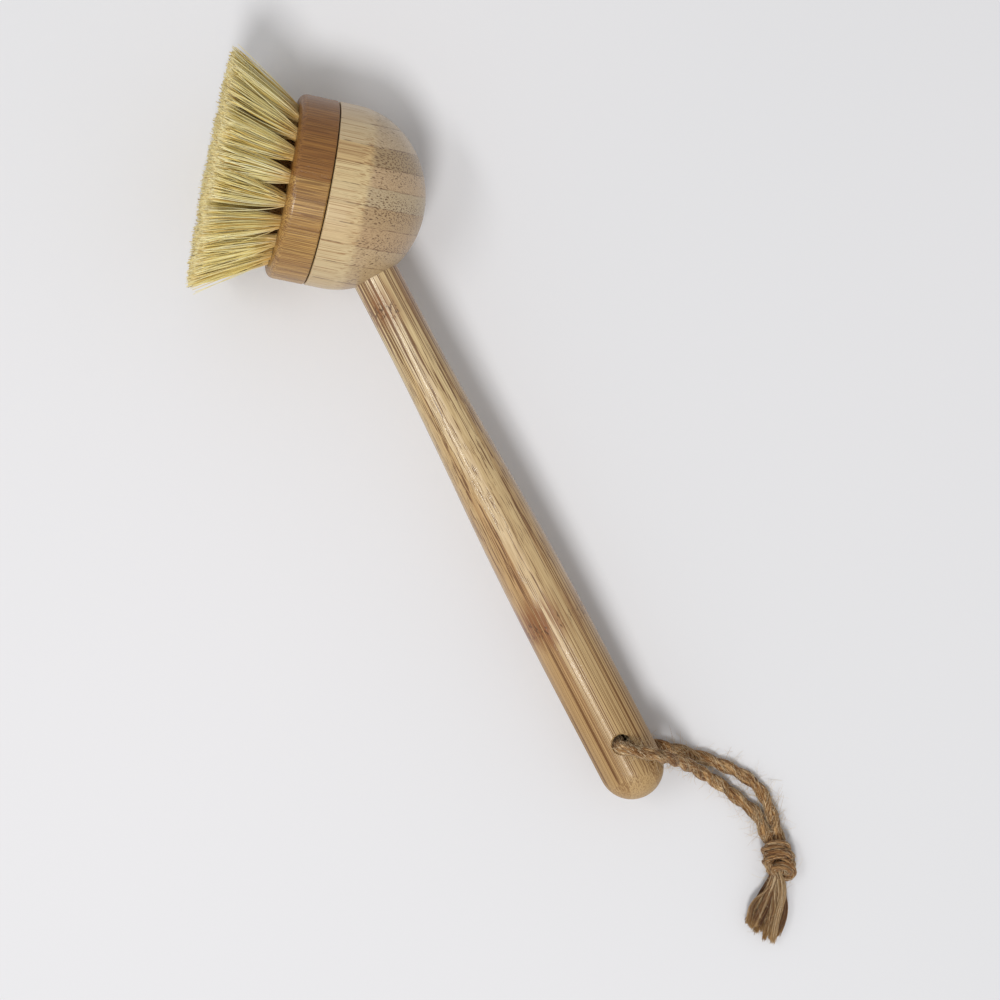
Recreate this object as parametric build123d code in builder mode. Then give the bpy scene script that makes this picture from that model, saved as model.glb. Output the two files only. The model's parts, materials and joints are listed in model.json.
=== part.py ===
from build123d import *
from math import acos, asin, atan2, cos, degrees, hypot, pi, radians, sin, sqrt, tan
import os

os.makedirs("parts", exist_ok=True)

# A round dish brush lying on its side. The handle runs along +X, +Z is up, and the origin is on the
# table, under the middle of the brush without its cord. All lengths are in millimetres.

# Fits and edges
glue_gap = 0.05
running_gap = 0.05
seam_gap = 0.3
edge_round = 0.4
overrun = 2.0

# Bamboo dome that joins the head to the handle
dome_radius = 25.0
dome_wall = 5.0
dome_shoulder_share = 0.868
dome_crown_share = 1.036

# Turned handle with a straight neck, a long swell and a half-round end
neck_diameter = 13.0
grip_diameter = 18.0
handle_reach = 185.0
handle_angle = 52.0
crossing_depth = 3.7
tenon_tip_distance = 11.0
tenon_chamfer = 0.6
neck_length = 32.0
swell_length = 106.0
hole_diameter = 5.3
hole_end_distance = 17.5
hole_turn = 7.0
hole_mouth_chamfer = 0.5

# Wooden disc that carries the bristles
disc_thickness = 10.4
disc_front_round = 2.2

# Brass insert in the dome, with a collar at its mouth
insert_diameter = 8.4
insert_length = 9.5
insert_collar_diameter = 11.0
insert_collar_thickness = 1.0
insert_room = 2.0

# Steel stud of the head, a wood thread in the disc and a machine thread in the insert
stud_diameter = 6.0
stud_length = 9.0
stud_thread_pitch = 1.0
stud_thread_depth = 0.5
wood_thread_diameter = 5.6
wood_thread_length = 8.0
wood_thread_pitch = 1.6
wood_thread_depth = 0.6
wood_point_length = 1.4
stud_hole_room = 0.3

# Tufts of plant fibre, each folded over a flat anchor in a blind hole
tuft_hole_diameter = 4.3
tuft_hole_depth = 6.8
fibre_length = 19.6
strand_radius = 0.38
strand_sides = 4
strand_root = 0.9
core_strands = 3
core_strand_radius = 0.65
outer_strands = 9
outer_strand_radius = 1.6
tuft_tip_share = 0.886
anchor_height = 1.6
anchor_thickness = 0.35

# Rings of tufts. The circles of their holes and of their tips are shares of the disc's radius.
outer_ring_count = 20
outer_ring_slant = 14.0
outer_ring_share = 0.792
outer_tip_share = 1.132
middle_ring_count = 13
middle_ring_slant = 8.0
middle_ring_share = 0.512
middle_tip_share = 0.712
core_ring_count = 6
core_ring_slant = 3.0
core_ring_share = 0.248
core_tip_share = 0.352

# Jute cord, tied in a knot with a frayed tassel
cord_diameter = 3.4
corner_share = 0.45
knot_diameter = 8.2
knot_waist_diameter = 7.0
knot_length = 11.8
knot_turns = 3
knot_start = (143.7, 37.1)
knot_heading = -23.6
tassel_root_width = 6.4
tassel_root_height = 6.0
tassel_middle_width = 8.8
tassel_middle_height = 5.0
tassel_end_width = 11.5
tassel_end_height = 3.6
tassel_corner_share = 0.42
tassel_middle = (158.7, 29.5)
tassel_middle_heading = -40.0
tassel_end = (165.7, 21.5)
tassel_end_heading = -61.4

# Routes of the two halves of the cord, from the middle of the hanging hole to the knot
over_route = [
    (98.0, 10.97, 13.02),
    (98.33, 11.31, 17.6),
    (98.5, 11.4, 22.2),
    (100.6, 13.7, 24.9),
    (104.4, 17.4, 24.0),
    (108.0, 20.9, 18.9),
    (111.9, 23.7, 12.0),
    (116.1, 26.5, 6.2),
    (121.3, 29.6, 3.0),
    (126.7, 33.1, 1.8),
    (130.9, 35.7, 2.1),
    (135.1, 37.3, 2.9),
    (139.12, 37.13, 3.3),
    (142.97, 35.45, 3.3),
]
under_route = [
    (98.0, 10.97, 13.02),
    (97.71, 10.67, 9.04),
    (97.3, 10.3, 5.0),
    (99.1, 12.2, 1.8),
    (103.0, 16.4, 1.8),
    (107.3, 21.7, 1.8),
    (111.9, 27.0, 1.8),
    (117.6, 31.9, 1.8),
    (123.9, 36.7, 1.8),
    (130.3, 40.0, 2.0),
    (135.6, 41.1, 2.6),
    (140.57, 40.43, 3.3),
    (144.42, 38.75, 3.3),
]

# What follows from the sizes above
end_radius = grip_diameter / 2
cord_radius = cord_diameter / 2
stud_radius = stud_diameter / 2
disc_back = seam_gap / 2
dome_face = -seam_gap / 2
disc_front = disc_back + disc_thickness
tip_height = disc_front + fibre_length
outer_tip_circle = dome_radius * outer_tip_share
outer_tip_spread = tuft_tip_share * outer_tip_circle * sin(pi / outer_ring_count)
rim_radius = outer_tip_circle + outer_tip_spread + strand_radius
dome_middle = dome_face - dome_wall
shoulder_radius = dome_radius * dome_shoulder_share
crown_radius = dome_radius * dome_crown_share
shoulder_circle = dome_radius - shoulder_radius
crown_rise = sqrt((crown_radius - shoulder_radius) ** 2 - shoulder_circle**2)
dome_pole = dome_middle - crown_radius + crown_rise


# How the brush lies: on the rim of its bristles, on the side of its dome, and on the cord that
# comes out under its handle. Its own axes are the head's axis, the direction across that towards
# the handle, and the direction square to both.
def find_tilt(steps=12):
    """The rise of the head's axis at which the bristle rim and the dome both meet the table."""
    height = tip_height - dome_middle
    reach = hypot(rim_radius, height)
    tilt = 0
    for _ in range(steps):
        dome_reach = shoulder_circle * cos(tilt) + shoulder_radius
        tilt = acos(dome_reach / reach) - atan2(height, rim_radius)
    return tilt, dome_reach


tilt, dome_height = find_tilt()
angle = radians(handle_angle)
handle_centre_length = handle_reach - end_radius
end_back = -crossing_depth - dome_middle - handle_centre_length * cos(angle)
end_aside = handle_centre_length * sin(angle)
end_height = end_radius + cord_diameter
roll = asin((end_height - dome_height - sin(tilt) * end_back) / (cos(tilt) * end_aside))

up = Vector(sin(tilt), cos(tilt) * sin(roll), cos(tilt) * cos(roll))
handle_line = Vector(-cos(angle), sin(angle), 0)
along = (handle_line - up * handle_line.dot(up)).normalized()
across = up.cross(along)
head_axis = Vector(along.X, across.X, up.X)
side_axis = Vector(along.Y, across.Y, up.Y)
flat_axis = Vector(along.Z, across.Z, up.Z)
handle_axis = side_axis * sin(angle) - head_axis * cos(angle)


def ring_reach(direction, radius):
    """How far a circle square to the head's axis reaches in a direction."""
    return radius * sqrt(1 - head_axis.dot(direction) ** 2)


def reach_from_seam(direction):
    """How far the brush reaches in a direction from the middle of its seam."""
    end = handle_axis * handle_centre_length - head_axis * crossing_depth
    rise = head_axis.dot(direction)
    return max(
        end.dot(direction) + end_radius,
        rise * tip_height + ring_reach(direction, rim_radius),
        rise * disc_front + ring_reach(direction, dome_radius - disc_front_round),
        rise * dome_middle + ring_reach(direction, shoulder_circle) + shoulder_radius,
    )


forward = Vector(1, 0, 0)
leftward = Vector(0, 1, 0)
seam = Vector(
    (reach_from_seam(-forward) - reach_from_seam(forward)) / 2,
    (reach_from_seam(-leftward) - reach_from_seam(leftward)) / 2,
    dome_height - head_axis.Z * dome_middle,
)
crossing = seam - head_axis * crossing_depth
hole_middle = crossing + handle_axis * (handle_reach - hole_end_distance)
hole_axis = flat_axis.rotate(Axis((0, 0, 0), handle_axis), hole_turn)


def head_plane(height):
    """The plane square to the head's axis at a height above the seam."""
    return Plane(origin=seam + head_axis * height, x_dir=side_axis, z_dir=head_axis)


def handle_plane(distance):
    """The plane square to the handle at a distance from where it crosses the head's axis."""
    return Plane(origin=crossing + handle_axis * distance, x_dir=flat_axis, z_dir=handle_axis)


# Sections with the turning axis along their own X
head_section = Plane(origin=seam, x_dir=head_axis, z_dir=flat_axis)
handle_section = Plane(origin=crossing, x_dir=handle_axis, z_dir=flat_axis)
head_turning = Axis(seam, head_axis)
handle_turning = Axis(crossing, handle_axis)


def finish(piece, name):
    """Names a piece and writes it."""
    piece.part.label = name
    export_step(piece.part, "parts/" + name + ".step")


# Handle
with BuildPart() as handle:
    neck_radius = neck_diameter / 2
    swell_end = neck_length + swell_length
    swell_middle = (neck_length + swell_length / 2, (neck_radius + end_radius) / 2)
    with BuildSketch(handle_section):
        with BuildLine():
            Polyline(
                (tenon_tip_distance, 0),
                (tenon_tip_distance, neck_radius - tenon_chamfer),
                (tenon_tip_distance + tenon_chamfer, neck_radius),
                (neck_length, neck_radius),
            )
            swell = TangentArc((neck_length, neck_radius), swell_middle, tangent=(1, 0))
            settle = TangentArc(swell @ 1, (swell_end, end_radius), tangent=swell % 1)
            Line(settle @ 1, (handle_centre_length, end_radius))
            RadiusArc((handle_centre_length, end_radius), (handle_reach, 0), end_radius)
            Line((handle_reach, 0), (tenon_tip_distance, 0))
        make_face()
    revolve(axis=handle_turning)
    with BuildSketch(Plane(origin=hole_middle, x_dir=handle_axis, z_dir=hole_axis)):
        Circle(hole_diameter / 2)
    extrude(amount=end_radius + overrun, both=True, mode=Mode.SUBTRACT)
    wall = handle.faces().filter_by(GeomType.CYLINDER).sort_by(lambda face: face.radius)[0]
    mouths = wall.edges().filter_by(GeomType.LINE, reverse=True)
    chamfer(mouths, hole_mouth_chamfer)
finish(handle, "handle")

# Dome, with a blind socket for the handle and a bore for the insert
with BuildPart() as dome:
    with BuildSketch(head_section):
        with BuildLine():
            crown_angle = atan2(shoulder_circle, crown_rise)
            crown_edge = (
                dome_middle + crown_rise - crown_radius * cos(crown_angle),
                crown_radius * sin(crown_angle),
            )
            Polyline((dome_face, 0), (dome_face, dome_radius), (dome_middle, dome_radius))
            TangentArc((dome_middle, dome_radius), crown_edge, tangent=(-1, 0))
            RadiusArc(crown_edge, (dome_pole, 0), -crown_radius)
            Line((dome_pole, 0), (dome_face, 0))
        make_face()
    revolve(axis=head_turning)
    fillet(dome.faces().sort_by(head_turning)[-1].edges(), edge_round)
    with BuildSketch(head_plane(dome_face)):
        Circle(insert_diameter / 2 + glue_gap)
    extrude(amount=-insert_length - insert_room, mode=Mode.SUBTRACT)
    with BuildSketch(head_plane(dome_face)):
        Circle(insert_collar_diameter / 2 + glue_gap)
    extrude(amount=-insert_collar_thickness, mode=Mode.SUBTRACT)
    with BuildSketch(handle_plane(tenon_tip_distance)):
        Circle(neck_diameter / 2 + glue_gap)
    extrude(amount=dome_radius + overrun, mode=Mode.SUBTRACT)
finish(dome, "dome")

# Threaded insert
with BuildPart() as insert:
    with BuildSketch(head_plane(dome_face)):
        Circle(insert_diameter / 2)
    extrude(amount=-insert_length)
    with BuildSketch(head_plane(dome_face)):
        Circle(insert_collar_diameter / 2)
    extrude(amount=-insert_collar_thickness)
    with BuildSketch(head_plane(dome_face)):
        Circle(stud_radius + running_gap)
    extrude(amount=-insert_length, mode=Mode.SUBTRACT)
finish(insert, "threaded_insert")


# Tuft holes
def tuft_planes(count, circle, slant):
    """The mouths of a ring's holes, each square to its hole, with X pointing outwards."""
    face = head_plane(disc_front)
    lean = radians(slant)
    lowest = atan2(-flat_axis.Z, -side_axis.Z)
    planes = []
    for number in range(count):
        turn = lowest + 2 * pi * number / count
        outwards = side_axis * cos(turn) + head_axis.cross(side_axis) * sin(turn)
        planes.append(
            Plane(
                origin=face.origin + outwards * circle,
                x_dir=outwards * cos(lean) - head_axis * sin(lean),
                z_dir=head_axis * cos(lean) + outwards * sin(lean),
            )
        )
    return planes


rings = [
    ("outer", outer_ring_count, outer_ring_slant, outer_ring_share, outer_tip_share),
    ("middle", middle_ring_count, middle_ring_slant, middle_ring_share, middle_tip_share),
    ("core", core_ring_count, core_ring_slant, core_ring_share, core_tip_share),
]
planes_of = {
    ring: tuft_planes(count, dome_radius * ring_share, slant)
    for ring, count, slant, ring_share, _ in rings
}
all_tuft_planes = [plane for planes in planes_of.values() for plane in planes]

# Brush disc
with BuildPart() as disc:
    with BuildSketch(head_plane(disc_back)):
        Circle(dome_radius)
    extrude(amount=disc_thickness)
    fillet(disc.faces().sort_by(head_turning)[-1].edges(), disc_front_round)
    fillet(disc.faces().sort_by(head_turning)[0].edges(), edge_round)
    for plane in all_tuft_planes:
        with BuildSketch(plane):
            Circle(tuft_hole_diameter / 2)
    extrude(amount=tuft_hole_depth, both=True, mode=Mode.SUBTRACT)
    with BuildSketch(head_plane(disc_back)):
        Circle(wood_thread_diameter / 2 + glue_gap)
    extrude(amount=wood_thread_length + stud_hole_room, mode=Mode.SUBTRACT)
finish(disc, "brush_disc")


# Head stud
def ridges(start, length, pitch, crest, depth):
    """Points of a row of thread ridges along the stud."""
    count = round(length / pitch)
    points = []
    for number in range(count):
        foot = start + number * length / count
        points += [(foot, crest - depth), (foot + length / count / 2, crest)]
    return points + [(start + length, crest - depth)]


with BuildPart() as stud:
    stud_end = disc_back - stud_length
    wood_end = disc_back + wood_thread_length
    machine_thread = ridges(
        stud_end, stud_length, stud_thread_pitch, stud_radius, stud_thread_depth
    )
    wood_thread = ridges(
        disc_back,
        wood_thread_length - wood_point_length,
        wood_thread_pitch,
        wood_thread_diameter / 2,
        wood_thread_depth,
    )
    with BuildSketch(head_section):
        with BuildLine():
            Polyline((stud_end, 0), *machine_thread, *wood_thread, (wood_end, 0), close=True)
        make_face()
    revolve(axis=head_turning)
finish(stud, "head_stud")

# Anchors at the bottoms of the tuft holes
with BuildPart() as anchors:
    for plane in all_tuft_planes:
        with BuildSketch(plane.offset(-tuft_hole_depth)):
            Rectangle(tuft_hole_diameter - 2 * glue_gap, anchor_thickness)
    extrude(amount=anchor_height)
finish(anchors, "tuft_anchors")


# Tufts
def strand_places(count, radius):
    """Points on a circle within a tuft, the first pointing outwards."""
    turns = [2 * pi * number / count for number in range(count)]
    return [(radius * cos(turn), radius * sin(turn)) for turn in turns]


def make_strand(root, tip, sideways):
    """One strand of fibre from its root in the plug to its tip."""
    with BuildPart() as strand:
        with BuildSketch(Plane(origin=root, x_dir=sideways, z_dir=tip - root)):
            RegularPolygon(strand_radius, strand_sides)
        extrude(amount=(tip - root).length)
    return strand.part


def make_tuft(plane, tip_circle, tip_spread, name):
    """One tuft: a plug that fills its hole round the anchor, and strands that fan out of it."""
    outwards = (plane.origin - head_plane(disc_front).origin).normalized()
    sideways = head_axis.cross(outwards)
    tip_middle = head_plane(tip_height).origin + outwards * tip_circle
    places = strand_places(core_strands, core_strand_radius)
    places += strand_places(outer_strands, outer_strand_radius)
    fan = tip_spread / outer_strand_radius
    strands = []
    for x, y in places:
        foot = plane.from_local_coords((x, y, 0))
        tip = tip_middle + (outwards * x + sideways * y) * fan
        root = foot - (tip - foot).normalized() * strand_root
        strands.append(make_strand(root, tip, sideways))
    with BuildPart() as tuft:
        with BuildSketch(plane):
            Circle(tuft_hole_diameter / 2 - glue_gap)
        extrude(amount=-tuft_hole_depth)
        with BuildSketch(plane.offset(-tuft_hole_depth)):
            Rectangle(tuft_hole_diameter, anchor_thickness + 2 * glue_gap)
        extrude(amount=anchor_height + glue_gap, mode=Mode.SUBTRACT)
        add(strands)
    finish(tuft, name)


for ring, count, _, _, tip_share in rings:
    tip_circle = dome_radius * tip_share
    tip_spread = tuft_tip_share * tip_circle * sin(pi / count)
    for number, plane in enumerate(planes_of[ring], start=1):
        make_tuft(plane, tip_circle, tip_spread, f"tuft_{ring}_{number:02d}")


# Cord
def corner_radii(route):
    """The largest radius that both runs at each corner of a route leave room for."""
    points = [Vector(point) for point in route]
    radii = []
    for before, here, after in zip(points, points[1:], points[2:]):
        arriving, leaving = here - before, after - here
        half_turn = radians(arriving.get_angle(leaving)) / 2
        radii.append(corner_share * min(arriving.length, leaving.length) / tan(half_turn))
    return radii


def make_cord(route, name):
    """A tube of straight runs joined by tangent arcs."""
    radii = corner_radii(route)
    with BuildPart() as cord:
        with BuildLine() as path:
            FilletPolyline(*route, radius=radii)
        with BuildSketch(path.line ^ 0):
            Circle(cord_radius)
        sweep()
    finish(cord, name)
    length = sum(edge.length for edge in path.edges())
    volume_share = cord.part.volume / (pi * cord_radius**2 * length)
    print(name, "length", round(length, 2), "volume share", round(volume_share, 5))
    print(name, "radii", [round(radius, 1) for radius in radii])


make_cord(over_route, "cord_over")
make_cord(under_route, "cord_under")


# Knot, three turns side by side
def heading_vector(heading):
    """The level direction at a heading in degrees from +X."""
    return Vector(cos(radians(heading)), sin(radians(heading)), 0)


knot_line = heading_vector(knot_heading)
knot_origin = Vector(*knot_start, knot_diameter / 2)
with BuildPart() as knot:
    with BuildSketch(Plane(origin=knot_origin, x_dir=knot_line, z_dir=(0, 0, 1))):
        with BuildLine():
            turn_length = knot_length / knot_turns
            for number in range(knot_turns):
                foot = number * turn_length
                ThreePointArc(
                    (foot, knot_waist_diameter / 2),
                    (foot + turn_length / 2, knot_diameter / 2),
                    (foot + turn_length, knot_waist_diameter / 2),
                )
            Polyline(
                (knot_length, knot_waist_diameter / 2),
                (knot_length, 0),
                (0, 0),
                (0, knot_waist_diameter / 2),
            )
        make_face()
    revolve(axis=Axis(knot_origin, knot_line))
finish(knot, "cord_knot")

# Tassel, from the knot down to the table
with BuildPart() as tassel:
    root_origin = knot_origin + knot_line * knot_length
    tassel_sections = [
        (root_origin, knot_heading, tassel_root_width, tassel_root_height),
        (
            Vector(*tassel_middle, tassel_middle_height / 2),
            tassel_middle_heading,
            tassel_middle_width,
            tassel_middle_height,
        ),
        (
            Vector(*tassel_end, tassel_end_height / 2),
            tassel_end_heading,
            tassel_end_width,
            tassel_end_height,
        ),
    ]
    for origin, heading, width, height in tassel_sections:
        line = heading_vector(heading)
        with BuildSketch(Plane(origin=origin, x_dir=line.cross(Vector(0, 0, 1)), z_dir=line)):
            RectangleRounded(width, height, tassel_corner_share * height)
    loft(ruled=True)
finish(tassel, "cord_tassel")


# Where things are, for the record
def told(vector):
    """A vector rounded for printing."""
    return [round(value, 6) for value in vector]


print("tilt", round(degrees(tilt), 3), "roll", round(degrees(roll), 3))
print("seam", told(seam), "crossing", told(crossing))
print("handle end", told(crossing + handle_axis * handle_reach))
print("hole middle", told(hole_middle), "hole axis", told(hole_axis))
print("head axis", told(head_axis), "handle axis", told(handle_axis))
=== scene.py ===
import json
import math
import random

import bpy
from mathutils import Matrix, Vector, noise


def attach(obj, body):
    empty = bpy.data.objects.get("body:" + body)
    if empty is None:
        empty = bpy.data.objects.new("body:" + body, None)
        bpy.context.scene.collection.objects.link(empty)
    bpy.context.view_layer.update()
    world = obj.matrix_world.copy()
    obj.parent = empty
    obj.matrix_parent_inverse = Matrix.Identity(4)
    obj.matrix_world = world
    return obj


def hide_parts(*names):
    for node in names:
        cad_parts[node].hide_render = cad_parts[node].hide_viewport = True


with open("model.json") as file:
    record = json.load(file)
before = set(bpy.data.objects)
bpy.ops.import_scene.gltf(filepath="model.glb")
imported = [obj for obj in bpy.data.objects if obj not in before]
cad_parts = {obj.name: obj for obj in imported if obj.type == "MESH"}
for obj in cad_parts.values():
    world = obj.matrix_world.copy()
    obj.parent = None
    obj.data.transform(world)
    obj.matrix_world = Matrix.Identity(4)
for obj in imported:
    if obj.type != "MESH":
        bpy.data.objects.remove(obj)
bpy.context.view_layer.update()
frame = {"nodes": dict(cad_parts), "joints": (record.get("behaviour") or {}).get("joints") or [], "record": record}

# A round dish brush on a pale table, seen from straight above. Lengths are in metres, and MM turns
# a size in millimetres into metres.
MM = 0.001

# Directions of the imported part: the head's axis from its screw joint, the handle's from its grip
joints = {joint["name"]: joint for joint in frame["joints"]}
mounts = {mount["name"]: mount for mount in frame["record"]["mounts"]}
SEAM = Vector(joints["head_turn"]["pos_m"])
HEAD = Vector(joints["head_turn"]["axis"]).normalized()
HANDLE = Vector(mounts["grip_clip"]["axis"]).normalized()
GRIP = Vector(mounts["grip_clip"]["pos_m"])
SIDE = (HANDLE - HEAD * HANDLE.dot(HEAD)).normalized()
FLAT = HEAD.cross(SIDE)
HANDLE_ACROSS = FLAT.cross(HANDLE).normalized()
HANDLE_UP = HANDLE.cross(HANDLE_ACROSS)

# Camera, straight above the table and turned as the photograph is
CAMERA_PLACE = (0.02447, 0.01282, 0.6)
CAMERA_TURN = math.radians(62.5)
CAMERA_LENS = 76.6
CAMERA_SENSOR = 36

camera_data = bpy.data.cameras.new("camera")
camera_data.lens = CAMERA_LENS
camera_data.sensor_width = CAMERA_SENSOR
camera = bpy.data.objects.new("camera", camera_data)
camera.location = CAMERA_PLACE
camera.rotation_euler = (0, 0, CAMERA_TURN)
bpy.context.scene.collection.objects.link(camera)
bpy.context.scene.camera = camera
PHOTO_RIGHT = Vector((math.cos(CAMERA_TURN), math.sin(CAMERA_TURN), 0))
PHOTO_UP = Vector((-math.sin(CAMERA_TURN), math.cos(CAMERA_TURN), 0))
UP = Vector((0, 0, 1))

# Cord. Each route runs from the middle of the handle's hole into the knot, and its points control a
# smooth curve. The pitch is the length of one turn of its plies.
CORD_DIAMETER = 3.4 * MM
CORD_PITCH = 13.0 * MM
OVER_ROUTE = [
    (0.0980, 0.01097, 0.01302),
    (0.0986, 0.0108, 0.0176),
    (0.0989, 0.0107, 0.0222),
    (0.1009, 0.0133, 0.0245),
    (0.1045, 0.0172, 0.0238),
    (0.1080, 0.0209, 0.0189),
    (0.1119, 0.0237, 0.0120),
    (0.1161, 0.0265, 0.0062),
    (0.1212, 0.0292, 0.0030),
    (0.1256, 0.0318, 0.0018),
    (0.1310, 0.0338, 0.0018),
    (0.1349, 0.0358, 0.0022),
    (0.1384, 0.0361, 0.0029),
    (0.1414, 0.0357, 0.0033),
    (0.1441, 0.0356, 0.0034),
]
UNDER_ROUTE = [
    (0.0980, 0.01097, 0.01302),
    (0.09771, 0.01067, 0.00904),
    (0.0973, 0.0103, 0.0050),
    (0.0991, 0.0122, 0.0018),
    (0.1030, 0.0164, 0.0018),
    (0.1073, 0.0217, 0.0018),
    (0.1119, 0.0270, 0.0018),
    (0.1174, 0.0321, 0.0018),
    (0.1230, 0.0368, 0.0018),
    (0.1291, 0.0400, 0.0018),
    (0.1344, 0.0402, 0.0022),
    (0.1386, 0.0395, 0.0028),
    (0.1421, 0.0389, 0.0032),
    (0.1454, 0.0381, 0.0034),
]
CURVE_ORDER = 3
CURVE_STEPS = 24

# The lowest that a tube's points go, the sides of a single fibre, and how far in millimetres the
# weave shifts along a tube for each whole step of its tint, so that no two tubes look alike
FLOOR_CLEARANCE = 0.05 * MM
FIBRE_SIDES = 4
WEAVE_SHIFT = 97


def link(obj):
    """Puts an object into the scene."""
    bpy.context.scene.collection.objects.link(obj)
    return obj


def nurbs_line(route):
    """Points along the smooth curve that a route's points control."""
    curve = bpy.data.curves.new("route", "CURVE")
    curve.dimensions = "3D"
    spline = curve.splines.new("NURBS")
    spline.points.add(len(route) - 1)
    for place, point in zip(spline.points, route):
        place.co = (*point, 1)
    spline.order_u = CURVE_ORDER
    spline.use_endpoint_u = True
    spline.resolution_u = CURVE_STEPS
    obj = link(bpy.data.objects.new("route", curve))
    graph = bpy.context.evaluated_depsgraph_get()
    mesh = bpy.data.meshes.new_from_object(obj.evaluated_get(graph))
    line = [vertex.co.copy() for vertex in mesh.vertices]
    bpy.data.objects.remove(obj)
    bpy.data.curves.remove(curve)
    bpy.data.meshes.remove(mesh)
    return line


def walked_lengths(line):
    """How far along a line each of its points is."""
    walked = [0.0]
    for before, after in zip(line, line[1:]):
        walked.append(walked[-1] + (after - before).length)
    return walked


def travelling_frames(line):
    """Tangent, normal and binormal at each point of a line, turning as little as they can."""
    frames = []
    normal = None
    for index, point in enumerate(line):
        before, after = line[max(index - 1, 0)], line[min(index + 1, len(line) - 1)]
        tangent = (after - before).normalized()
        if normal is None:
            normal = tangent.orthogonal()
        normal = (normal - tangent * normal.dot(tangent)).normalized()
        frames.append((tangent, normal, tangent.cross(normal)))
    return frames


class Tubes:
    """Closed tubes gathered into one mesh, with values at each point for the materials.

    tint is one value a tube, share runs from 0 to 1 along it, and weave is the distance along it in
    millimetres and the direction round it.
    """

    def __init__(self):
        self.points, self.faces, self.tints, self.shares, self.weaves = [], [], [], [], []

    def add(self, line, radius, sides, tint):
        """Adds a tube. radius is called with a ring's share of the length and a side's angle."""
        first = len(self.points)
        walked = walked_lengths(line)
        for far, centre, (_, normal, binormal) in zip(walked, line, travelling_frames(line)):
            share = far / walked[-1]
            for side in range(sides):
                angle = 2 * math.pi * side / sides
                turn = normal * math.cos(angle) + binormal * math.sin(angle)
                point = centre + turn * radius(share, angle)
                point.z = max(point.z, FLOOR_CLEARANCE)
                self.points.append(point)
                self.tints.append(tint)
                self.shares.append(share)
                place = far / MM + WEAVE_SHIFT * tint
                self.weaves.extend((place, math.cos(angle), math.sin(angle)))
        last_ring = len(line) - 1
        for ring in range(last_ring):
            for side in range(sides):
                here = first + ring * sides
                ahead = here + sides
                turn = (side + 1) % sides
                self.faces.append((here + side, here + turn, ahead + turn, ahead + side))
        self.faces.append(tuple(first + side for side in reversed(range(sides))))
        self.faces.append(tuple(first + last_ring * sides + side for side in range(sides)))

    def build(self, name, material):
        """Makes the mesh object."""
        mesh = bpy.data.meshes.new(name)
        mesh.from_pydata([tuple(point) for point in self.points], [], self.faces)
        for title, values in (("tint", self.tints), ("share", self.shares)):
            mesh.attributes.new(title, "FLOAT", "POINT").data.foreach_set("value", values)
        weave = mesh.attributes.new("weave", "FLOAT_VECTOR", "POINT")
        weave.data.foreach_set("vector", self.weaves)
        mesh.shade_smooth()
        mesh.materials.append(material)
        return link(bpy.data.objects.new(name, mesh))


# Materials
def srgb(red, green, blue):
    """A linear colour from the 0 to 255 values of a screen colour."""
    def linear(value):
        value /= 255
        return value / 12.92 if value <= 0.04045 else ((value + 0.055) / 1.055) ** 2.4
    return (linear(red), linear(green), linear(blue), 1)


# How far bundles sway in millimetres, the share of a bundle's radius that is wholly dark, and how
# soft the edge of a grain line is
BUNDLE_BEND = 0.5
BUNDLE_CORE = 0.65
LINE_EDGE = 0.025


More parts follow.
